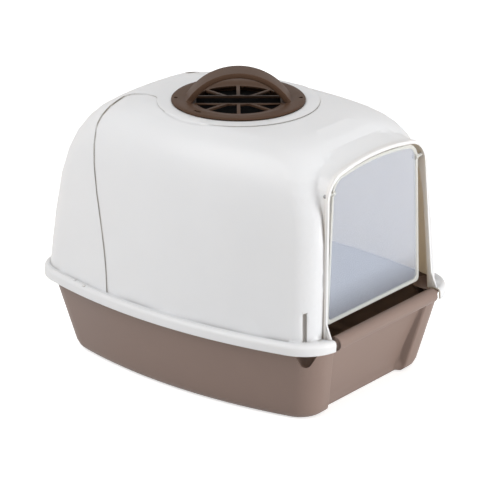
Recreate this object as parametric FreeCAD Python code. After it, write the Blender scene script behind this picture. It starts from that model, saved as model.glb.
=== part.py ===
import FreeCAD, Part
import math
import os

# Hooded litter box in millimetres, front door towards -Y, floor at z = 0

# The frame's origin lies on the floor under the vent, which is half way along the box
originShift = 22

# Walls and clearances
wall = 2.6
seatGap = 0.3

# Hood flange that closes over the tray rim
flangeHalfWidth = 196
flangeFront = -284
flangeBack = 241
flangeBottom = 110
flangeTop = 125
skirtWall = 2.4
flangeRound = 6
widestY = -45
sideRadius = 800
backRadius = 480
frontCorner = 60
backCorner = 62

# Hood dome
domeInset = 12
domeFront = -264
domeCornerF = 40
domeCornerB = 56
domeBackInset = 8.5
domeTop = 381
domeCap = 0.985
domeLevels = (0.0, 0.3, 0.52, 0.66, 0.76, 0.84, 0.89, 0.925, 0.955, domeCap)
raisedStep = 1.8
ventStep = 1.3

# Door collar: an arched tunnel whose rim plane leans forward towards the floor
rimTop = 354
rimTopY = -259
rimLean = 0.042
collarHalfWidth = 112.5
collarSpring = 310
collarFlare = 0.06
collarCrown = 420
collarCornerRadius = 38
collarWall = 3.4
rimBead = 1.4
collarRise = 0.19
collarDepth = 104
entryHalfWidth = 115

# Door flap
pinRadius = 2.5
pinFit = 0.05
axisY = -254.5
axisZ = 320
flapBottom = 136
flapTop = 347.5
flapTopHalf = 97.5
flapFlare = 0.048
flapRim = 3.6
flapWeb = 1.8

# Vent, filter and twist lid
ventY = -22
lidRadius = 92.5
lidTop = 381
roofTop = 377.3
wellRadius = 67
wellFloor = 360
grilleRadius = 64
handleAngle = -51.3
handleHalfSpan = 73.5
handleTop = 421
strapWidth = 38
strapThickness = 7
strapFoot = 10
slotHalfWidth = 15
grilleLow = roofTop - 2.6
grilleHigh = roofTop + 0.4
plugRadius = wellRadius - 0.4
plugLow = wellFloor + 10
lugReach = 1.8
lugHalfAngle = 4
lugHeight = 2.4
lidTurn = 30
lugAngles = (0, 120, 240)

# Tray
trayHalfWidth = 158
trayFront = -247
trayBack = 193
trayWall = 2.6
trayRimHalfWidth = 192.4
rimChamfer = 1.6
trayRimTop = flangeTop - wall - seatGap
trayDraft = 0.25
floorRound = 13
panelFloorY = -231.5
panelLean = 0.31
panelFloorHalf = 80
panelTopHalf = 107
pillarRound = 5
pillarFoot = 11
lipFront = -285
lipTop = 126.5
lipRadius = 10
lipHalf = 112.3
lipBlend = 14


def vec(x, y, z):
    return FreeCAD.Vector(x, y, z)


def box(x0, x1, y0, y1, z0, z1):
    return Part.makeBox(x1 - x0, y1 - y0, z1 - z0, vec(x0, y0, z0))


def cylinder(radius, z0, z1, x=0, y=0):
    return Part.makeCylinder(radius, z1 - z0, vec(x, y, z0))


def fuseAll(shapes):
    return shapes[0].multiFuse(shapes[1:]).removeSplitter()


def mirrored(shape):
    return shape.mirror(vec(0, 0, 0), vec(1, 0, 0))


def bothSides(shape):
    return [shape, mirrored(shape)]


def arc(center, radius, angleA, angleB, z):
    def at(angle):
        return vec(center[0] + radius * math.cos(angle), center[1] + radius * math.sin(angle), z)
    return Part.Arc(at(angleA), at((angleA + angleB) / 2), at(angleB)).toShape()


# Where two circles cross, on the side of larger x
def circleMeet(centerA, radiusA, centerB, radiusB):
    dx = centerB[0] - centerA[0]
    dy = centerB[1] - centerA[1]
    gap = math.hypot(dx, dy)
    along = (radiusA ** 2 - radiusB ** 2 + gap ** 2) / (2 * gap)
    aside = math.sqrt(radiusA ** 2 - along ** 2)
    foot = (centerA[0] + along * dx / gap, centerA[1] + along * dy / gap)
    hits = [(foot[0] + side * aside * dy / gap, foot[1] - side * aside * dx / gap) for side in (1, -1)]
    return max(hits)


# Right half of a plan outline: front corner, bowed side and back corner, then the bowed back edge
def halfOutline(half, front, back, cornerF, cornerB, bow, z):
    side = (half - bow, widestY)
    rear = (0, back - backRadius)
    frontCenterY = front + cornerF
    reach = math.sqrt((bow - cornerF) ** 2 - (frontCenterY - widestY) ** 2)
    centerF = (side[0] + reach, frontCenterY)
    centerB = circleMeet(side, bow - cornerB, rear, backRadius - cornerB)
    sideF = math.atan2(centerF[1] - side[1], centerF[0] - side[0])
    sideB = math.atan2(centerB[1] - side[1], centerB[0] - side[0])
    rearB = math.atan2(centerB[1] - rear[1], centerB[0] - rear[0])
    right = [
        arc(centerF, cornerF, -math.pi / 2, sideF, z),
        arc(side, bow, sideF, sideB, z),
        arc(centerB, cornerB, sideB, rearB, z),
    ]
    backEdge = arc(rear, backRadius, rearB, math.pi - rearB, z)
    return right, backEdge, centerF[0]


def closedWire(right, backEdge, frontEdge):
    left = [mirrored(edge) for edge in right]
    return Part.Wire(Part.__sortEdges__([frontEdge] + right + [backEdge] + left))


# Plan outline with a straight front, bowed sides, a bowed back and four round corners
def planOutline(half, front, back, cornerF, cornerB, bow, z):
    right, backEdge, flatEnd = halfOutline(half, front, back, cornerF, cornerB, bow, z)
    return closedWire(right, backEdge, Part.makeLine(vec(-flatEnd, front, z), vec(flatEnd, front, z)))


def prism(wire, height):
    return Part.Face(wire).extrude(vec(0, 0, height))


# Share of the base size left at a height share, for a wall that drafts in and then rounds over
def domeShare(level, draft, power):
    return (1 - draft * level) * (1 - level ** power) ** (1 / power)


def domeSolid(offset):
    base = flangeTop - wall
    half = flangeHalfWidth - domeInset + offset
    front = domeFront - offset
    back = flangeBack - domeBackInset + offset
    sections = []
    for level in domeLevels:
        wide = domeShare(level, 0.125, 5.4)
        sections.append(planOutline(
            half * wide,
            ventY + (front - ventY) * domeShare(level, 0.03, 5.8),
            ventY + (back - ventY) * domeShare(level, 0.105, 4.2),
            domeCornerF * wide + 40 * level ** 4,
            domeCornerB * wide + 40 * level ** 4,
            sideRadius * wide,
            base + (domeTop - base + offset) * level,
        ))
    return Part.makeLoft(sections, True, True)


# What lies above a level of the roof, which is flat round the vent
def aboveRoof(top):
    return box(-260, 260, -320, 320, top, top + 80)


# Arched outline in the leaning rim plane, inset from the collar's outer skin
def archFace(inset, bottom):
    top = rimTop - inset
    lean = math.hypot(1, collarFlare)
    crownCenter = top - collarCrown
    radius = collarCornerRadius - inset
    # The corner centre sits one radius inside both the slanted side and the crown
    sideAt = collarHalfWidth + collarFlare * collarSpring - (inset + radius) * lean
    slope = collarFlare
    reach = collarCrown - radius
    a = 1 + slope ** 2
    b = -2 * (crownCenter + slope * sideAt)
    c = crownCenter ** 2 + sideAt ** 2 - reach ** 2
    centerZ = (-b + math.sqrt(b * b - 4 * a * c)) / (2 * a)
    centerX = sideAt - slope * centerZ

    def at(x, z):
        return vec(x, rimTopY - rimLean * (rimTop - z), z)

    sideAngle = math.atan2(slope, 1)
    crownAngle = math.atan2(centerZ - crownCenter, centerX)
    midAngle = (sideAngle + crownAngle) / 2
    footX = collarHalfWidth + collarFlare * (collarSpring - bottom) - inset * lean

    def corner(angle, sign):
        return at(sign * (centerX + radius * math.cos(angle)), centerZ + radius * math.sin(angle))

    edges = [
        Part.makeLine(at(-footX, bottom), at(footX, bottom)),
        Part.makeLine(at(footX, bottom), corner(sideAngle, 1)),
        Part.Arc(corner(sideAngle, 1), corner(midAngle, 1), corner(crownAngle, 1)).toShape(),
        Part.Arc(corner(crownAngle, 1), at(0, top), corner(crownAngle, -1)).toShape(),
        Part.Arc(corner(crownAngle, -1), corner(midAngle, -1), corner(sideAngle, -1)).toShape(),
        Part.makeLine(corner(sideAngle, -1), at(-footX, bottom)),
    ]
    return Part.Face(Part.Wire(edges))


def collarSolid(inset, bottom, start):
    face = archFace(inset, bottom)
    face.translate(vec(0, start, collarRise * start))
    run = collarDepth - start
    return face.extrude(vec(0, run, collarRise * run))


# Thin slab along the leaning rim plane, which keeps the bead to the collar's front edge
def rimSlab():
    depth = 4
    low = rimTopY - rimLean * rimTop
    high = rimTopY + rimLean * 60
    profile = Part.makePolygon([vec(-200, low - 1, 0), vec(-200, high - 1, rimTop + 60),
                                vec(-200, high + depth, rimTop + 60), vec(-200, low + depth, 0),
                                vec(-200, low - 1, 0)])
    return Part.Face(profile).extrude(vec(400, 0, 0))


# Back of the hood and the ring round the vent stand proud of the front and sides
def raisedRegion():
    ringRadius = 112
    neckHalf = 58
    neckRound = 14
    low = 100
    split = 345
    high = 420
    farY = 320
    half = 260
    edge = Part.BSplineCurve()
    edge.interpolate([vec(-half, 69, low), vec(-half, 76, 168), vec(-half, 107, 274), vec(-half, 127, split)])
    lines = Part.makePolygon([vec(-half, 127, split), vec(-half, farY, split), vec(-half, farY, low),
                              vec(-half, 69, low)])
    rear = Part.Face(Part.Wire([edge.toShape()] + lines.Edges)).extrude(vec(2 * half, 0, 0))
    ring = cylinder(ringRadius, split, high, 0, ventY)
    neck = box(-neckHalf, neckHalf, ventY, farY, split, high)
    plan = fuseAll([ring, neck, box(-half, half, 127, farY, split, high)])
    inside = []
    for upright in plan.Edges:
        bounds = upright.BoundBox
        if bounds.ZLength > 1 and abs(abs(bounds.Center.x) - neckHalf) < 0.5 and bounds.XLength < 0.1:
            inside.append(upright)
    return fuseAll([rear, plan.makeFillet(neckRound, inside)])


def flangeRing():
    outer = prism(planOutline(flangeHalfWidth, flangeFront, flangeBack, frontCorner, backCorner,
                              sideRadius, flangeBottom), flangeTop - flangeBottom)
    crest = [edge for edge in outer.Edges if edge.BoundBox.ZMin > flangeTop - 0.1]
    outer = outer.makeFillet(flangeRound, crest)
    inner = prism(planOutline(flangeHalfWidth - skirtWall, flangeFront + skirtWall, flangeBack - skirtWall,
                              frontCorner - skirtWall, backCorner - skirtWall, sideRadius - skirtWall,
                              flangeBottom), flangeTop - wall - flangeBottom)
    crest = [edge for edge in inner.Edges if edge.BoundBox.ZMin > flangeTop - wall - 0.1]
    return outer.cut(inner.makeChamfer(rimChamfer + 0.4, crest))


# Upright groove in the skin of each front corner of the hood, round at its upper end
def cornerGroove():
    grooveDepth = 1.5
    slotHalf = 2.8
    slotLow = flangeTop + 1
    slotHigh = 162
    slotReach = 30
    low = box(-slotReach, slotReach, -slotHalf, slotHalf, slotLow, slotHigh)
    high = Part.makeCylinder(slotHalf, 2 * slotReach, vec(-slotReach, 0, slotHigh), vec(1, 0, 0))
    slot = low.fuse(high)
    slot.rotate(vec(0, 0, 0), vec(0, 0, 1), -45)
    slot.translate(vec(158, -261, 0))
    return slot.cut(domeSolid(-grooveDepth))


# Small web that carries the collar's foot forward on to the flange
def footGusset():
    thickness = 3
    webX = collarHalfWidth + collarFlare * (collarSpring - flangeTop) - collarWall
    profile = Part.makePolygon([
        vec(webX, -262, flangeTop - 1), vec(webX, -277, flangeTop - 1),
        vec(webX, -267, flangeTop + 22), vec(webX, -262, flangeTop + 22), vec(webX, -262, flangeTop - 1),
    ])
    return Part.Face(profile).extrude(vec(thickness, 0, 0))


# Round well under the vent with an open cross of bars that carries the filter
def filterWell():
    wellWall = 2.2
    floorThickness = 2.4
    barHalf = 1.6
    barCount = 7
    barPitch = 16
    tube = cylinder(wellRadius + wellWall, wellFloor - floorThickness, roofTop, 0, ventY)
    tube = tube.cut(cylinder(wellRadius, wellFloor - floorThickness - 1, roofTop + 1, 0, ventY))
    disc = cylinder(wellRadius + 1, wellFloor - floorThickness, wellFloor, 0, ventY)
    bars = []
    for index in range(barCount):
        place = (index - (barCount - 1) / 2) * barPitch
        bars.append(box(place - barHalf, place + barHalf, ventY - 80, ventY + 80,
                        wellFloor - floorThickness, wellFloor))
    bars.append(box(-80, 80, ventY - barHalf, ventY + barHalf, wellFloor - floorThickness, wellFloor))
    return fuseAll([tube, fuseAll(bars).common(disc)])


def hoodPart():
    plain = domeSolid(0).cut(aboveRoof(roofTop - ventStep))
    raised = domeSolid(raisedStep).common(raisedRegion()).cut(aboveRoof(roofTop))
    collar = collarSolid(0, flangeTop - wall, 0)
    bead = collarSolid(-rimBead, flangeTop - wall, 0).common(rimSlab())
    outer = fuseAll([plain, raised, collar, bead, flangeRing()])
    hollow = domeSolid(-wall).cut(aboveRoof(roofTop - ventStep - wall))
    tunnel = collarSolid(collarWall, flangeTop - wall - 20, -30)
    entry = box(-entryHalfWidth, entryHalfWidth, -300, flangeFront + 90, flangeBottom - 1, flangeTop + 8)
    ventHole = cylinder(wellRadius, wellFloor - 10, roofTop + 40, 0, ventY)
    pinHole = Part.makeCylinder(pinRadius + pinFit, 320, vec(-160, axisY, axisZ), vec(1, 0, 0))
    cutters = [hollow, tunnel, entry, ventHole, pinHole] + bothSides(cornerGroove())
    shell = outer.cut(cutters[0])
    for cutter in cutters[1:]:
        shell = shell.cut(cutter)
    hood = fuseAll([shell, filterWell()] + bothSides(footGusset()))
    for angle in lugAngles:
        hood = hood.cut(lugSlot(angle))
    return hood


# Outline of the flap in the upright door plane
def flapFace(inset):
    bottom = flapBottom + inset
    top = flapTop - inset
    footHalf = flapTopHalf + flapFlare * (axisZ - bottom) - inset
    springZ = axisZ - 2
    springHalf = flapTopHalf - inset
    cornerX = 78 - inset * 0.5
    crownDrop = 6
    y = axisY - flapRim / 2
    foot = 7
    cornerMid = vec(springHalf - 6.2, y, springZ + 15.5 - inset * 0.5)
    points = {
        "right": vec(springHalf, y, springZ),
        "cornerRight": vec(cornerX, y, top - crownDrop),
        "crown": vec(0, y, top),
    }

    def flip(point):
        return vec(-point.x, point.y, point.z)

    footRight = vec(footHalf, y, bottom + foot)
    footInner = vec(footHalf - foot, y, bottom)
    footMid = vec(footHalf - foot * 0.29, y, bottom + foot * 0.29)
    edges = [
        Part.makeLine(flip(footInner), footInner),
        Part.Arc(footInner, footMid, footRight).toShape(),
        Part.makeLine(footRight, points["right"]),
        Part.Arc(points["right"], cornerMid, points["cornerRight"]).toShape(),
        Part.Arc(points["cornerRight"], points["crown"], flip(points["cornerRight"])).toShape(),
        Part.Arc(flip(points["cornerRight"]), flip(cornerMid), flip(points["right"])).toShape(),
        Part.makeLine(flip(points["right"]), flip(footRight)),
        Part.Arc(flip(footRight), flip(footMid), flip(footInner)).toShape(),
    ]
    return Part.Face(Part.Wire(edges))


def flapPart():
    rimBand = 4.5
    pocketDepth = (flapRim - flapWeb) / 2
    panel = flapFace(0).extrude(vec(0, flapRim, 0))
    pocket = flapFace(rimBand).extrude(vec(0, pocketDepth, 0))
    rearPocket = pocket.copy()
    rearPocket.translate(vec(0, flapRim - pocketDepth, 0))
    panel = panel.cut(pocket).cut(rearPocket)
    pinRoot = flapTopHalf - 6
    pinEnd = collarHalfWidth - 1.2
    pin = Part.makeCylinder(pinRadius, pinEnd - pinRoot, vec(pinRoot, axisY, axisZ), vec(1, 0, 0))
    boss = Part.makeCylinder(pinRadius + 1.6, 5.5, vec(pinRoot, axisY, axisZ), vec(1, 0, 0))
    return fuseAll([panel] + bothSides(pin) + bothSides(boss))


def turned(shape):
    shape.rotate(vec(0, 0, 0), vec(0, 0, 1), handleAngle)
    shape.translate(vec(0, ventY, 0))
    return shape


# Radial spokes and slot bars of the vent grille, built along the handle's own axis
def grilleSolid():
    low = grilleLow
    high = grilleHigh
    hubRadius = 21
    spokeHalf = 2.4
    slotBar = 3.4
    windowOuter = grilleRadius - 3
    disc = cylinder(grilleRadius + 1, low, high)
    window = cylinder(windowOuter, low, high).cut(cylinder(hubRadius, low, high))
    keep = [box(-80, 80, -slotHalfWidth - slotBar, slotHalfWidth + slotBar, low, high)]
    for angle in (45, 90, 135):
        spoke = box(-80, 80, -spokeHalf, spokeHalf, low, high)
        spoke.rotate(vec(0, 0, 0), vec(0, 0, 1), angle)
        keep.append(spoke)
    for bar in keep:
        window = window.cut(bar)
    slot = box(-windowOuter + 3, windowOuter - 3, -slotHalfWidth, slotHalfWidth, low, high)
    return disc.cut(window).cut(slot)


# Bezel as a turned profile: flat seat, rounded outer edge, dished top, plug down into the well
def bezelSolid():
    seat = roofTop + seatGap
    plugInner = plugRadius - 2
    profile = [
        vec(plugInner, 0, plugLow), vec(plugRadius, 0, plugLow), vec(plugRadius, 0, seat),
        vec(lidRadius, 0, seat), vec(lidRadius, 0, lidTop - 1.6),
        vec(lidRadius - 1.6, 0, lidTop), vec(grilleRadius + 10, 0, lidTop - 0.4),
        vec(grilleRadius, 0, grilleHigh), vec(grilleRadius, 0, grilleLow),
        vec(plugInner, 0, grilleLow), vec(plugInner, 0, plugLow),
    ]
    return Part.Face(Part.makePolygon(profile)).revolve(vec(0, 0, 0), vec(0, 0, 1), 360)


# Part of a ring between two angles about the vent axis, standing at the origin
def ringSector(inner, outer, angleA, angleB, low, high):
    up = vec(0, 0, 1)
    sector = Part.makeCylinder(outer, high - low, vec(0, 0, low), up, angleB - angleA)
    sector = sector.cut(cylinder(inner, low - 1, high + 1))
    sector.rotate(vec(0, 0, 0), up, angleA)
    return sector


# Bayonet lug on the plug, and the slot in the well that it drops into and turns along
def lidLug(angle):
    return ringSector(plugRadius - 1, plugRadius + lugReach, angle - lugHalfAngle, angle + lugHalfAngle,
                      plugLow, plugLow + lugHeight)


def lugSlot(angle):
    gap = 0.4
    half = lugHalfAngle + 0.8
    reach = plugRadius + lugReach + gap + 1
    track = ringSector(wellRadius - 1, reach, angle - half, angle + lidTurn + half,
                       plugLow - gap, plugLow + lugHeight + gap)
    mouth = ringSector(wellRadius - 1, reach, angle + lidTurn - half, angle + lidTurn + half,
                       plugLow - gap, roofTop + 2)
    return turned(track.fuse(mouth))


# Strap handle as a band between two arcs, thicker at its feet, in the plane of the handle axis
def strapSolid():
    footZ = grilleHigh
    inner = handleHalfSpan - strapFoot
    innerTop = handleTop - strapThickness
    band = [
        Part.Arc(vec(-handleHalfSpan, 0, footZ), vec(0, 0, handleTop), vec(handleHalfSpan, 0, footZ)).toShape(),
        Part.makeLine(vec(handleHalfSpan, 0, footZ), vec(inner, 0, footZ)),
        Part.Arc(vec(inner, 0, footZ), vec(0, 0, innerTop), vec(-inner, 0, footZ)).toShape(),
        Part.makeLine(vec(-inner, 0, footZ), vec(-handleHalfSpan, 0, footZ)),
    ]
    strap = Part.Face(Part.Wire(band)).extrude(vec(0, strapWidth, 0))
    strap.translate(vec(0, -strapWidth / 2, 0))
    long = [edge for edge in strap.Edges if edge.Curve.TypeId == "Part::GeomCircle"]
    return strap.makeChamfer(1.2, long)


def lidPart():
    eyeAt = 86
    eyeRadius = 2.8
    windowAt = 82
    windowAngle = 47
    lid = fuseAll([bezelSolid(), grilleSolid(), strapSolid()] + [lidLug(angle) for angle in lugAngles])
    for side in (0, 180):
        eye = cylinder(eyeRadius, roofTop - 1, lidTop + 2, eyeAt, 0)
        eye.rotate(vec(0, 0, 0), vec(0, 0, 1), side)
        notch = box(windowAt - 2, windowAt + 2, -6, 6, roofTop - 1, lidTop + 2)
        notch.rotate(vec(0, 0, 0), vec(0, 0, 1), side + windowAngle)
        lid = lid.cut(eye).cut(notch)
    return turned(lid)


def filterPart():
    return cylinder(wellRadius - 1.5, wellFloor + seatGap, wellFloor + 10 - seatGap, 0, ventY)


def trayFrontAt(z):
    return trayFront - 0.9 * trayDraft * z


# Drafted tray block whose lowest part rounds in towards the floor
def trayBody(offset, levels):
    sections = []
    for z in levels:
        rise = trayDraft * z
        under = max(floorRound - z, 0)
        grow = offset - floorRound + math.sqrt(floorRound ** 2 - under ** 2)
        sections.append(planOutline(
            trayHalfWidth + rise + grow, trayFrontAt(z) - grow, trayBack + 1.3 * rise + grow,
            38 + grow + 0.02 * z, 48 + grow + 0.1 * z, sideRadius - 60, z))
    return Part.makeLoft(sections, True, True)


# Outline of the space in front of the recessed panel; its shoulders round off the corner pillars
def recessOutline(offset, z):
    share = z / trayRimTop
    spread = 0.45 + 0.45 * share
    slant = math.hypot(1, spread)
    front = trayFrontAt(z) - offset
    panelY = panelFloorY - panelLean * z
    panelHalf = panelFloorHalf + (panelTopHalf - panelFloorHalf) * share
    # The pillar's inner face is the line x + spread * y = face
    face = panelHalf + spread * panelY - offset * slant
    # Towards the floor the pillar's inner face rounds away
    under = pillarFoot - max(z, 0)
    if under > 0:
        face += pillarFoot - math.sqrt(pillarFoot ** 2 - under ** 2)
    panelY -= offset
    nose = pillarRound + offset
    noseY = front + nose * math.cos(0.2)
    noseX = face + nose * slant - spread * noseY
    noseAngle = math.atan2(-spread, -1)
    corner = vec(face - spread * panelY, panelY, z)
    start = vec(noseX + nose * math.cos(noseAngle), noseY + nose * math.sin(noseAngle), z)
    ahead = vec(noseX, front - 30, z)
    right = [
        Part.makeLine(corner, start),
        arc((noseX, noseY), nose, noseAngle, -math.pi / 2, z),
        Part.makeLine(vec(noseX, noseY - nose, z), ahead),
    ]
    across = Part.makeLine(ahead, vec(-ahead.x, ahead.y, z))
    return closedWire(right, across, Part.makeLine(vec(-corner.x, panelY, z), corner))


def frontRecess(offset):
    levels = (-2, 0, 1, 3, 6, pillarFoot, trayRimTop + 8)
    return Part.makeLoft([recessOutline(offset, z) for z in levels], True, True)


# Funnel-shaped finger recess with a round tip in each front corner of the tray, under the hood's flange
def fingerRecess(grow):
    lean = math.radians(30)
    tip = 9 + grow
    tipZ = 96
    topZ = trayRimTop - wall
    across = vec(tip * math.cos(lean), 0, tipZ - tip * math.sin(lean))
    top = vec(across.x + math.tan(lean) * (topZ - across.z), 0, topZ)
    halfway = (math.pi / 2 + lean) / 2
    low = vec(tip * math.sin(halfway - lean), 0, tipZ - tip * math.cos(halfway - lean))
    edges = [
        Part.makeLine(vec(0, 0, topZ), vec(0, 0, tipZ - tip)),
        Part.Arc(vec(0, 0, tipZ - tip), low, across).toShape(),
        Part.makeLine(across, top),
        Part.makeLine(top, vec(0, 0, topZ)),
    ]
    funnel = Part.Face(Part.Wire(edges)).revolve(vec(0, 0, 0), vec(0, 0, 1), 360)
    funnel.translate(vec(145, -251, 0))
    return funnel


# Rolled entry lip: a round bead blended into the panel below it, hollow towards the inside of the tray
def lipSolid(inset, half, rear):
    beadY = lipFront + lipRadius
    beadZ = lipTop - lipRadius
    radius = lipRadius - inset
    blend = lipBlend + inset
    slant = math.hypot(1, panelLean)
    # Unit vectors out of the panel and down along it, in the YZ plane
    out = vec(0, -1 / slant, -panelLean / slant)
    down = vec(0, panelLean / slant, -1 / slant)
    bead = vec(-half, beadY, beadZ)
    onPanel = vec(-half, panelFloorY - panelLean * beadZ, beadZ) - out * inset
    ahead = (bead - onPanel).dot(out)
    foot = bead - out * ahead
    drop = math.sqrt((blend + radius) ** 2 - (blend - ahead) ** 2)
    panelEnd = foot + down * drop
    center = panelEnd + out * blend
    beadEnd = bead + (center - bead) * (radius / (blend + radius))
    toBead = (beadEnd - center).normalize()
    toPanel = (panelEnd - center).normalize()
    middle = center + (toBead + toPanel).normalize() * blend
    behind = vec(-half, rear, panelEnd.z)
    behindTop = vec(-half, rear, beadZ)
    edges = [
        Part.makeLine(bead, beadEnd),
        Part.Arc(beadEnd, middle, panelEnd).toShape(),
        Part.makeLine(panelEnd, behind),
        Part.makeLine(behind, behindTop),
        Part.makeLine(behindTop, bead),
    ]
    web = Part.Face(Part.Wire(edges)).extrude(vec(2 * half, 0, 0))
    roll = Part.makeCylinder(radius, 2 * half, bead, vec(1, 0, 0))
    return fuseAll([roll, web])


def trayPart():
    floorLevels = [floorRound * share for share in (0, 0.13, 0.5, 1)]
    wallLevels = [floorRound + (trayRimTop - floorRound) * share for share in (0.25, 0.5, 0.75)]
    outer = trayBody(0, floorLevels + wallLevels + [trayRimTop]).cut(frontRecess(0))
    inner = trayBody(-trayWall, [trayWall] + floorLevels[2:] + wallLevels + [trayRimTop + 1])
    inner = inner.cut(frontRecess(-trayWall))
    for side in bothSides(fingerRecess(0)):
        outer = outer.cut(side)
    for side in bothSides(fingerRecess(trayWall)):
        inner = inner.cut(side)
    rim = prism(planOutline(trayRimHalfWidth, flangeFront + 3.8, flangeBack - 3.6, frontCorner - 3.6,
                            backCorner - 3.6, sideRadius - 4, trayRimTop - wall), wall)
    crest = [edge for edge in rim.Edges if edge.BoundBox.ZMin > trayRimTop - 0.1]
    rim = rim.makeChamfer(rimChamfer, crest)
    panelTopY = panelFloorY - panelLean * trayRimTop
    gateway = box(-lipHalf - 2.5, lipHalf + 2.5, -300, panelTopY + 1, trayRimTop - wall - 0.5, trayRimTop + 1)
    tray = outer.fuse(rim.cut(gateway)).fuse(lipSolid(0, lipHalf, panelTopY + 16)).cut(inner)
    return tray.cut(lipSolid(trayWall, lipHalf - trayWall, panelTopY + 30)).removeSplitter()


os.makedirs("parts", exist_ok=True)
nodes = {
    "tray": trayPart,
    "hood": hoodPart,
    "door_flap": flapPart,
    "vent_lid": lidPart,
    "carbon_filter": filterPart,
}
for node, make in nodes.items():
    shape = make()
    shape.translate(vec(0, originShift, 0))
    print(node, shape.ShapeType, len(shape.Solids), shape.isValid(), shape.BoundBox)
    shape.exportStep("parts/" + node + ".step")
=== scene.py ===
import bpy
import bmesh
import math
from mathutils import Matrix, Vector


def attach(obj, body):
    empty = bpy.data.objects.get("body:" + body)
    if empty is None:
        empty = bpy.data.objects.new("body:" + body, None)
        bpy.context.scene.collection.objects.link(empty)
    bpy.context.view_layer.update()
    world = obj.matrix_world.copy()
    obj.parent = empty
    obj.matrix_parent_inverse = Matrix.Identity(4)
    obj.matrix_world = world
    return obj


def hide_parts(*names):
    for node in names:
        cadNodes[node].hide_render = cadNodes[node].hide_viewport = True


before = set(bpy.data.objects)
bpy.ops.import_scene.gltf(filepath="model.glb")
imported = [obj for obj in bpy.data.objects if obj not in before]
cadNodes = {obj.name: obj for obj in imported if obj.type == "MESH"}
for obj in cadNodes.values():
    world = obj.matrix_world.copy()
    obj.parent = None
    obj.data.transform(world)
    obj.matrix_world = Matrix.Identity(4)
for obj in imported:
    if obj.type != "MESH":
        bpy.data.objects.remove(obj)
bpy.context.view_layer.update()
scene = bpy.context.scene
scene.view_settings.view_transform = "Standard"
white = (1, 1, 1, 1)
# The looks give lengths in mm
mm = 0.001
print("frame loaded:", sorted(cadNodes))


# sRGB hex to the linear colour that a shader socket takes
def hexColour(text):
    channels = [int(text[i:i + 2], 16) / 255 for i in (1, 3, 5)]
    return tuple(c / 12.92 if c <= 0.04045 else ((c + 0.055) / 1.055) ** 2.4 for c in channels) + (1.0,)


# Adds a node, sets its properties, then its sockets: a socket value is linked, anything else is a constant
def addNode(tree, kind, inputs=None, **settings):
    node = tree.nodes.new(kind)
    for name, value in settings.items():
        setattr(node, name, value)
    for key, value in (inputs or {}).items():
        socket = node.inputs[key]
        if isinstance(value, bpy.types.NodeSocket):
            tree.links.new(value, socket)
        else:
            socket.default_value = value
    return node


def addMath(tree, operation, *values):
    return addNode(tree, "ShaderNodeMath", dict(enumerate(values)), operation=operation).outputs[0]


def mixColour(tree, share, first, second):
    return addNode(tree, "ShaderNodeMix", {
        "Factor": share, "A": first, "B": second}, data_type="RGBA").outputs["Result"]


def newMaterial(name):
    material = bpy.data.materials.new(name)
    material.use_nodes = True
    material.node_tree.nodes.clear()
    return material, material.node_tree


def outputSurface(tree, shader):
    addNode(tree, "ShaderNodeOutputMaterial", {"Surface": shader})


# What all the moulded plastics share
mouldedLook = {
    "flowDetail": 3.0, "flowRoughness": 0.55, "flowLow": 0.3, "flowHigh": 0.7,
    "grainDetail": 2.0, "grainRoughness": 0.6, "grainHeight": 0.05,
    "smoother": 0.04, "rougher": 0.05, "ior": 1.49, "creaseSamples": 8, "edgeSamples": 4,
}


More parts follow.
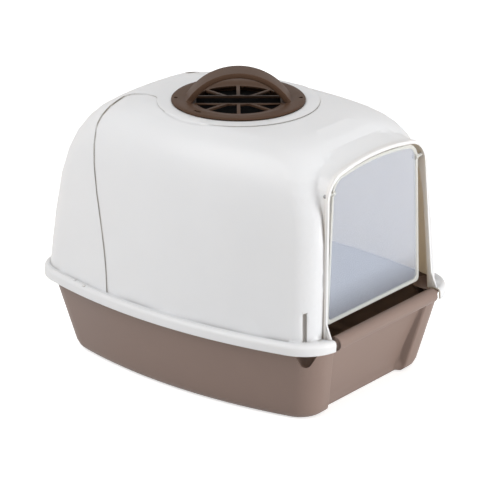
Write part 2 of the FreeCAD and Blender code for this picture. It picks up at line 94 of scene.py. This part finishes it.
# Injection moulded polypropylene: cloudy flow marks, a fine eroded grain, soft edges, and painted shade
# darkening the creases and the marked faces
def mouldedPlastic(look):
    material, tree = newMaterial(look["name"])
    place = addNode(tree, "ShaderNodeTexCoord").outputs["Object"]
    flow = addNode(tree, "ShaderNodeTexNoise", {
        "Vector": place, "Scale": 1 / (look["flowSize"] * mm), "Detail": mouldedLook["flowDetail"],
        "Roughness": mouldedLook["flowRoughness"]}).outputs["Fac"]
    grain = addNode(tree, "ShaderNodeTexNoise", {
        "Vector": place, "Scale": 1 / (look["grainSize"] * mm), "Detail": mouldedLook["grainDetail"],
        "Roughness": mouldedLook["grainRoughness"]}).outputs["Fac"]
    tint = mixColour(tree, flow, hexColour(look["deep"]), hexColour(look["pale"]))
    # Painted shade: where ambient occlusion finds a crease, the colour is darkened towards the painted shade
    # colour
    crease = addNode(tree, "ShaderNodeAmbientOcclusion", {"Distance": look["creaseReach"] * mm},
                     samples=mouldedLook["creaseSamples"], only_local=look["creaseByOwnShape"])
    creaseShadeAmount = addNode(tree, "ShaderNodeMapRange", {
        "Value": crease.outputs["AO"], "From Min": look["creaseFrom"], "From Max": look["creaseTo"],
        "To Min": look["creaseDepth"], "To Max": 0.0}).outputs["Result"]
    # Painted shade: marked faces lie out of the light, so they take the whole crease shade and never less
    # than their own share
    shade = addNode(tree, "ShaderNodeAttribute", attribute_name="shade").outputs["Fac"]
    taken = addNode(tree, "ShaderNodeMapRange", {
        "Value": shade, "To Min": look["openShare"], "To Max": 1.0}).outputs["Result"]
    paintedCreaseShade = addMath(tree, "MULTIPLY", creaseShadeAmount, taken)
    least = addMath(tree, "MULTIPLY", shade, look["shadeShare"])
    paintedShade = addMath(tree, "MAXIMUM", paintedCreaseShade, least)
    colour = mixColour(tree, paintedShade, tint, hexColour(look["paintedShadeColour"]))
    gloss = addNode(tree, "ShaderNodeMapRange", {
        "Value": flow, "From Min": mouldedLook["flowLow"], "From Max": mouldedLook["flowHigh"],
        "To Min": look["roughness"] - mouldedLook["smoother"],
        "To Max": look["roughness"] + mouldedLook["rougher"]}).outputs["Result"]
    soft = addNode(tree, "ShaderNodeBevel", {"Radius": look["edgeRadius"] * mm},
                   samples=mouldedLook["edgeSamples"])
    bump = addNode(tree, "ShaderNodeBump", {
        "Strength": look["grainStrength"], "Distance": mouldedLook["grainHeight"] * mm, "Height": grain,
        "Normal": soft.outputs["Normal"]})
    plastic = addNode(tree, "ShaderNodeBsdfPrincipled", {
        "Base Color": colour, "Roughness": gloss, "IOR": mouldedLook["ior"],
        "Specular IOR Level": look["shine"], "Normal": bump.outputs["Normal"]})
    shader = plastic.outputs["BSDF"]
    if look["throughShare"] > 0:
        # A thin unfilled wall lets some light through, warmed on its way
        through = addNode(tree, "ShaderNodeBsdfTranslucent", {"Color": hexColour(look["throughColour"])})
        shader = addNode(tree, "ShaderNodeMixShader", {
            0: look["throughShare"], 1: shader, 2: through.outputs["BSDF"]}).outputs["Shader"]
    outputSurface(tree, shader)
    return material


# Gaps and slivers closed in a copied mesh, in mm, and how far large faces rule the normals
weld = {"gap": 0.004, "sliver": 0.002, "evenWeight": 50}


# Welded copy of a CAD node, smooth between its real edges, so that the moulded skin shades as one surface
def weldedCopy(node, name, material, sharpAngle):
    mesh = bmesh.new()
    mesh.from_mesh(cadNodes[node].data)
    bmesh.ops.remove_doubles(mesh, verts=mesh.verts, dist=weld["gap"] * mm)
    bmesh.ops.dissolve_degenerate(mesh, edges=mesh.edges, dist=weld["sliver"] * mm)
    data = bpy.data.meshes.new(name)
    mesh.to_mesh(data)
    mesh.free()
    data.shade_smooth()
    data.set_sharp_from_angle(angle=math.radians(sharpAngle))
    data.materials.clear()
    data.materials.append(material)
    piece = bpy.data.objects.new(name, data)
    scene.collection.objects.link(piece)
    even = piece.modifiers.new("evenNormals", "WEIGHTED_NORMAL")
    even.keep_sharp = True
    even.weight = weld["evenWeight"]
    return piece


# Marks the faces that lie in a hollow, so that the material can shade them
def markShade(piece, isShaded):
    marks = [float(isShaded(face.center / mm, face.normal)) for face in piece.data.polygons]
    piece.data.attributes.new("shade", "FLOAT", "FACE").data.foreach_set("value", marks)


def seat(piece, body, slotName, *replaced):
    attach(piece, body)
    if replaced:
        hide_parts(*replaced)
    print("piece:", piece.name, "on", body, len(piece.data.polygons), "faces")


# Tray: taupe polypropylene, moulded satin, which looks dull and soft with broad highlights
trayLook = {
    "name": "taupePolypropyleneMoulded", "deep": "#7c6a62", "pale": "#847269", "roughness": 0.45,
    "shine": 0.15, "throughShare": 0.0,
    "flowSize": 90, "grainSize": 1.4, "grainStrength": 0.10, "edgeRadius": 0.9,
    # Painted shade: the creases and the inner skin darken towards a near-black brown
    "creaseReach": 70, "creaseFrom": 0.55, "creaseTo": 0.85, "creaseDepth": 0.97, "paintedShadeColour": "#140b06",
    "creaseByOwnShape": True, "openShare": 0.22, "shadeShare": 0.35,
    "sharpAngle": 34, "floorTop": 20, "floorTurn": 0.5, "wallTurn": 0.25,
    "recess": (145, -229), "recessReach": 25, "recessTurn": 0.5,
}


# Inner skin of the tray, which gets painted shade: its floor, the walls that face the middle and the backs
# of the finger recesses
def insideTray(place, normal):
    side = math.copysign(1, place.x)
    fromRecess = Vector((side * place.x, place.y)) - Vector(trayLook["recess"])
    towardsMiddle = -normal.xy.dot(place.xy.normalized())
    awayFromRecess = fromRecess.normalized().dot(Vector((side * normal.x, normal.y)))
    if fromRecess.length < trayLook["recessReach"] and abs(awayFromRecess) > trayLook["recessTurn"]:
        return awayFromRecess > 0 and towardsMiddle > 0
    if place.z < trayLook["floorTop"] and normal.z > trayLook["floorTurn"]:
        return True
    return towardsMiddle > trayLook["wallTurn"]


trayMaterial = mouldedPlastic(trayLook)
tray = weldedCopy("tray", "trayMoulding", trayMaterial, trayLook["sharpAngle"])
# The inner skin is marked for painted shade, as it lies in the hood's shadow
markShade(tray, insideTray)
seat(tray, "tray", "taupe_polypropylene", "tray")

# Hood: white polypropylene, moulded semi-gloss, which gives a clean white with long soft reflections
hoodLook = {
    "name": "whitePolypropyleneMoulded", "deep": "#e8ebef", "pale": "#eef1f5", "roughness": 0.33,
    "shine": 0.5, "throughShare": 0.3, "throughColour": "#ffeccb",
    "flowSize": 120, "grainSize": 1.6, "grainStrength": 0.06, "edgeRadius": 1.8,
    # Painted shade: the collar crease darkens to grey and the slot floors take a fixed share of it
    "creaseReach": 14, "creaseFrom": 0.4, "creaseTo": 0.8, "creaseDepth": 0.8, "paintedShadeColour": "#6a6764",
    "creaseByOwnShape": False, "openShare": 1.0, "shadeShare": 0.75,
    "sharpAngle": 30, "slot": (158, -239), "slotHalf": 3.2, "slotFoot": 125.5, "slotHead": 166,
    "slotReach": 30, "slotTurn": -0.3,
}


# Upright slot at each front corner of the hood, cut across the corner at 45 degrees; its floor is marked for
# painted shade
def insideSlot(place, normal):
    slotX, slotY = hoodLook["slot"]
    across = (abs(place.x) - slotX + place.y - slotY) / math.sqrt(2)
    faceOut = math.copysign(1, place.x) * normal.x - normal.y
    if faceOut <= hoodLook["slotTurn"] or place.y >= slotY + hoodLook["slotReach"]:
        return False
    return abs(across) < hoodLook["slotHalf"] and hoodLook["slotFoot"] < place.z < hoodLook["slotHead"]


hoodMaterial = mouldedPlastic(hoodLook)
hood = weldedCopy("hood", "hoodMoulding", hoodMaterial, hoodLook["sharpAngle"])
markShade(hood, insideSlot)
seat(hood, "hood", "white_polypropylene", "hood")

# Snap nubs on the hood's flange: the same plastic, half sunk in the flange, two on each side
nubLook = {
    "length": 6.5, "width": 3.4, "height": 2.6, "seats": ((177.5, 133.0, -14.0), (170.0, 156.0, -16.0)),
    "flangeTop": 125.0, "segments": 20, "rings": 10,
}


# One rounded nub on each point, turned along the flange by the point's own angle
def nubTree(look, material):
    tree = bpy.data.node_groups.new("flangeNubs", "GeometryNodeTree")
    tree.is_modifier = True
    tree.interface.new_socket("Points", in_out="INPUT", socket_type="NodeSocketGeometry")
    for name in ("Length", "Width", "Height"):
        tree.interface.new_socket(name, in_out="INPUT", socket_type="NodeSocketFloat")
    tree.interface.new_socket("Nubs", in_out="OUTPUT", socket_type="NodeSocketGeometry")
    given = addNode(tree, "NodeGroupInput").outputs
    size = addNode(tree, "ShaderNodeCombineXYZ", {
        "X": given["Width"], "Y": given["Length"], "Z": given["Height"]})
    ball = addNode(tree, "GeometryNodeMeshUVSphere", {
        "Segments": look["segments"], "Rings": look["rings"], "Radius": 0.5})
    nub = addNode(tree, "GeometryNodeTransform", {
        "Geometry": ball.outputs["Mesh"], "Scale": size.outputs["Vector"]})
    turn = addNode(tree, "GeometryNodeInputNamedAttribute", {"Name": "turn"}, data_type="FLOAT")
    about = addNode(tree, "ShaderNodeCombineXYZ", {"Z": turn.outputs["Attribute"]})
    points = addNode(tree, "GeometryNodeMeshToPoints", {"Mesh": given["Points"]})
    placed = addNode(tree, "GeometryNodeInstanceOnPoints", {
        "Points": points.outputs["Points"], "Instance": nub.outputs["Geometry"],
        "Rotation": about.outputs["Vector"]})
    solid = addNode(tree, "GeometryNodeRealizeInstances", {"Geometry": placed.outputs["Instances"]})
    smooth = addNode(tree, "GeometryNodeSetShadeSmooth", {"Geometry": solid.outputs["Geometry"]})
    painted = addNode(tree, "GeometryNodeSetMaterial", {
        "Geometry": smooth.outputs["Geometry"], "Material": material})
    addNode(tree, "NodeGroupOutput", {"Nubs": painted.outputs["Geometry"]})
    return tree


def flangeNubs(look, material):
    seats = [(side * x, y, side * angle) for side in (1, -1) for x, y, angle in look["seats"]]
    mesh = bpy.data.meshes.new("nubSeats")
    mesh.from_pydata([(x * mm, y * mm, look["flangeTop"] * mm) for x, y, angle in seats], [], [])
    turns = mesh.attributes.new("turn", "FLOAT", "POINT")
    turns.data.foreach_set("value", [math.radians(-angle) for x, y, angle in seats])
    holder = bpy.data.objects.new("nubSeats", mesh)
    scene.collection.objects.link(holder)
    tree = nubTree(look, material)
    nodes = holder.modifiers.new("flangeNubs", "NODES")
    nodes.node_group = tree
    for item in tree.interface.items_tree:
        if item.in_out == "INPUT" and item.name.lower() in look:
            nodes[item.identifier] = look[item.name.lower()] * mm
    bpy.context.view_layer.update()
    made = bpy.data.meshes.new_from_object(holder.evaluated_get(bpy.context.evaluated_depsgraph_get()))
    bpy.data.objects.remove(holder)
    piece = bpy.data.objects.new("flangeNubs", made)
    scene.collection.objects.link(piece)
    return piece


nubs = flangeNubs(nubLook, hoodMaterial)
seat(nubs, "hood", "white_polypropylene")

# Vent lid: the tray's plastic in a deeper shade, satin
lidLook = {
    "name": "brownPolypropyleneMoulded", "deep": "#412e22", "pale": "#4b3729", "roughness": 0.5,
    "shine": 0.12, "throughShare": 0.0,
    "flowSize": 45, "grainSize": 1.2, "grainStrength": 0.10, "edgeRadius": 0.7,
    # Painted shade: the lid's creases darken towards a dark brown
    "creaseReach": 8, "creaseFrom": 0.35, "creaseTo": 0.75, "creaseDepth": 0.5, "paintedShadeColour": "#2a211c",
    "creaseByOwnShape": True, "openShare": 1.0, "shadeShare": 0.0,
    "sharpAngle": 32,
}
lidMaterial = mouldedPlastic(lidLook)
lid = weldedCopy("vent_lid", "ventLidMoulding", lidMaterial, lidLook["sharpAngle"])
seat(lid, "lid", "taupe_lid", "vent_lid")

# Flap: smoky translucent polystyrene, with a polished rim and a frosted web that veils what is behind it
flapLook = {
    "name": "smokyPolystyreneFrosted", "webDeep": "#d0d9eb", "webPale": "#dbe4f2", "rim": "#d3d4cf",
    "webAlpha": 0.29, "tipAlpha": 0.12, "tipFrom": 135, "tipTo": 185, "rimAlpha": 0.6,
    "roughness": 0.24, "ior": 1.55, "axisY": -232.5, "webHalf": 1.2,
    "mistSize": 40, "mistDetail": 4.0, "mistStrength": 0.2, "mistHeight": 0.3,
    "sharpAngle": 28,
}


def frostedFlap(look):
    material, tree = newMaterial(look["name"])
    place = addNode(tree, "ShaderNodeTexCoord").outputs["Object"]
    mist = addNode(tree, "ShaderNodeTexNoise", {
        "Vector": place, "Scale": 1 / (look["mistSize"] * mm), "Detail": look["mistDetail"]}).outputs["Fac"]
    web = mixColour(tree, mist, hexColour(look["webDeep"]), hexColour(look["webPale"]))
    # The rim stands proud of the web on both faces, so depth from the flap's middle plane tells them apart
    axes = addNode(tree, "ShaderNodeSeparateXYZ", {"Vector": place}).outputs
    fromMiddle = addMath(tree, "ADD", axes["Y"], -look["axisY"] * mm)
    offMiddle = addMath(tree, "ABSOLUTE", fromMiddle)
    onRim = addMath(tree, "GREATER_THAN", offMiddle, look["webHalf"] * mm)
    colour = mixColour(tree, onRim, web, hexColour(look["rim"]))
    # The web thins towards its free edge, where more of the dark tray shows
    thin = addNode(tree, "ShaderNodeMapRange", {
        "Value": axes["Z"], "From Min": look["tipFrom"] * mm, "From Max": look["tipTo"] * mm,
        "To Min": look["tipAlpha"], "To Max": look["webAlpha"]})
    veil = addNode(tree, "ShaderNodeMapRange", {
        "Value": onRim, "To Min": thin.outputs["Result"], "To Max": look["rimAlpha"]})
    bump = addNode(tree, "ShaderNodeBump", {
        "Strength": look["mistStrength"], "Distance": look["mistHeight"] * mm, "Height": mist})
    sheet = addNode(tree, "ShaderNodeBsdfPrincipled", {
        "Base Color": colour, "Roughness": look["roughness"], "IOR": look["ior"],
        "Alpha": veil.outputs["Result"], "Normal": bump.outputs["Normal"]})
    outputSurface(tree, sheet.outputs["BSDF"])
    return material


flapMaterial = frostedFlap(flapLook)
flap = weldedCopy("door_flap", "doorFlapSheet", flapMaterial, flapLook["sharpAngle"])
seat(flap, "flap", "clear_flap", "door_flap")

# Filter: open-cell foam loaded with carbon, matt black with small pores
foamLook = {
    "name": "carbonFoamOpenCell", "deep": "#010101", "pale": "#060505", "roughness": 0.95, "shine": 0.05,
    "poreSize": 2.6, "poreStrength": 0.7, "poreDepth": 0.6,
}


def carbonFoam(look):
    material, tree = newMaterial(look["name"])
    place = addNode(tree, "ShaderNodeTexCoord").outputs["Object"]
    pores = addNode(tree, "ShaderNodeTexVoronoi", {
        "Vector": place, "Scale": 1 / (look["poreSize"] * mm)}).outputs["Distance"]
    colour = mixColour(tree, pores, hexColour(look["deep"]), hexColour(look["pale"]))
    bump = addNode(tree, "ShaderNodeBump", {
        "Strength": look["poreStrength"], "Distance": look["poreDepth"] * mm, "Height": pores})
    foam = addNode(tree, "ShaderNodeBsdfPrincipled", {
        "Base Color": colour, "Roughness": look["roughness"], "Specular IOR Level": look["shine"],
        "Normal": bump.outputs["Normal"]})
    outputSurface(tree, foam.outputs["BSDF"])
    return material


foamMaterial = carbonFoam(foamLook)
pad = cadNodes["carbon_filter"]
pad.data.materials.clear()
pad.data.materials.append(foamMaterial)
print("materials: tray, hood, lid, flap, foam")


# One for a ray that sees the plain background: straight from the camera, mirrored or through clear plastic
def seenRay(tree):
    path = addNode(tree, "ShaderNodeLightPath").outputs
    mirror = addMath(tree, "MAXIMUM", path["Is Camera Ray"], path["Is Glossy Ray"])
    return addMath(tree, "MAXIMUM", mirror, path["Is Transmission Ray"])


# Stage: pale floor that keeps the shadow and shows white round it; reach in metres
stageLook = {"floor": "#e6e6e6", "floorGlow": 0.6, "reach": 6.0, "worldLight": 0.46}
reach = stageLook["reach"]
floorCorners = [(-reach, -reach, 0), (reach, -reach, 0), (reach, reach, 0), (-reach, reach, 0)]
floorMesh = bpy.data.meshes.new("studioFloor")
floorMesh.from_pydata(floorCorners, [], [(0, 1, 2, 3)])
floor = bpy.data.objects.new("studioFloor", floorMesh)
scene.collection.objects.link(floor)
floorMaterial, floorTree = newMaterial("studioFloorPaint")
glow = addMath(floorTree, "MULTIPLY", seenRay(floorTree), stageLook["floorGlow"])
paint = addNode(floorTree, "ShaderNodeBsdfDiffuse", {"Color": hexColour(stageLook["floor"])})
shine = addNode(floorTree, "ShaderNodeEmission", {"Color": white, "Strength": glow})
both = addNode(floorTree, "ShaderNodeAddShader", {0: paint.outputs[0], 1: shine.outputs[0]})
outputSurface(floorTree, both.outputs[0])
floorMesh.materials.append(floorMaterial)

world = bpy.data.worlds.new("studioWorld")
scene.world = world
world.use_nodes = True
skyTree = world.node_tree
skyTree.nodes.clear()
skyLight = addNode(skyTree, "ShaderNodeMapRange", {
    "Value": seenRay(skyTree), "To Min": stageLook["worldLight"], "To Max": 1.0})
sky = addNode(skyTree, "ShaderNodeBackground", {"Color": white, "Strength": skyLight.outputs["Result"]})
addNode(skyTree, "ShaderNodeOutputWorld", {"Surface": sky.outputs[0]})

# Soft boxes: place, aim and size in metres, power in watts
softBoxes = {
    "frontKey": {"place": (0.65, -2.7, 0.5), "aim": (0.0, -0.15, 0.15), "size": 1.0, "power": 60},
    "topSoft": {"place": (0.2, -0.7, 2.6), "aim": (0.0, 0.0, 0.3), "size": 3.2, "power": 14},
    "backLeft": {"place": (-1.8, 0.8, 2.3), "aim": (0.0, 0.1, 0.25), "size": 2.2, "power": 59},
}
for name, lamp in softBoxes.items():
    data = bpy.data.lights.new(name, "AREA")
    data.shape = "SQUARE"
    data.size = lamp["size"]
    data.energy = lamp["power"]
    holder = bpy.data.objects.new(name, data)
    scene.collection.objects.link(holder)
    holder.location = lamp["place"]
    holder.rotation_euler = (Vector(lamp["aim"]) - Vector(lamp["place"])).to_track_quat("-Z", "Y").to_euler()
print("stage and lamps set")

# Camera: long lens from the left front, a little above the roof; angles in degrees, lens and sensor in mm
view = {
    "azimuth": -52.0, "elevation": 21.04, "roll": 0.21, "distance": 4.46331, "lens": 230.4, "sensor": 36,
    "clipEnd": 60, "aim": (0.0, -0.02114, 0.16127),
}
azimuth, elevation, roll = (math.radians(view[key]) for key in ("azimuth", "elevation", "roll"))
backward = Vector((math.sin(azimuth) * math.cos(elevation), -math.cos(azimuth) * math.cos(elevation),
                   math.sin(elevation)))
level = Vector((math.cos(azimuth), math.sin(azimuth), 0))
upward = backward.cross(level)
across = level * math.cos(roll) + upward * math.sin(roll)
upright = upward * math.cos(roll) - level * math.sin(roll)
cameraData = bpy.data.cameras.new("studioCamera")
cameraData.lens = view["lens"]
cameraData.sensor_width = view["sensor"]
cameraData.clip_end = view["clipEnd"]
camera = bpy.data.objects.new("studioCamera", cameraData)
scene.collection.objects.link(camera)
camera.matrix_world = Matrix.Translation(Vector(view["aim"]) + backward * view["distance"]) @ Matrix(
    (across, upright, backward)).transposed().to_4x4()
scene.camera = camera
print("camera set")
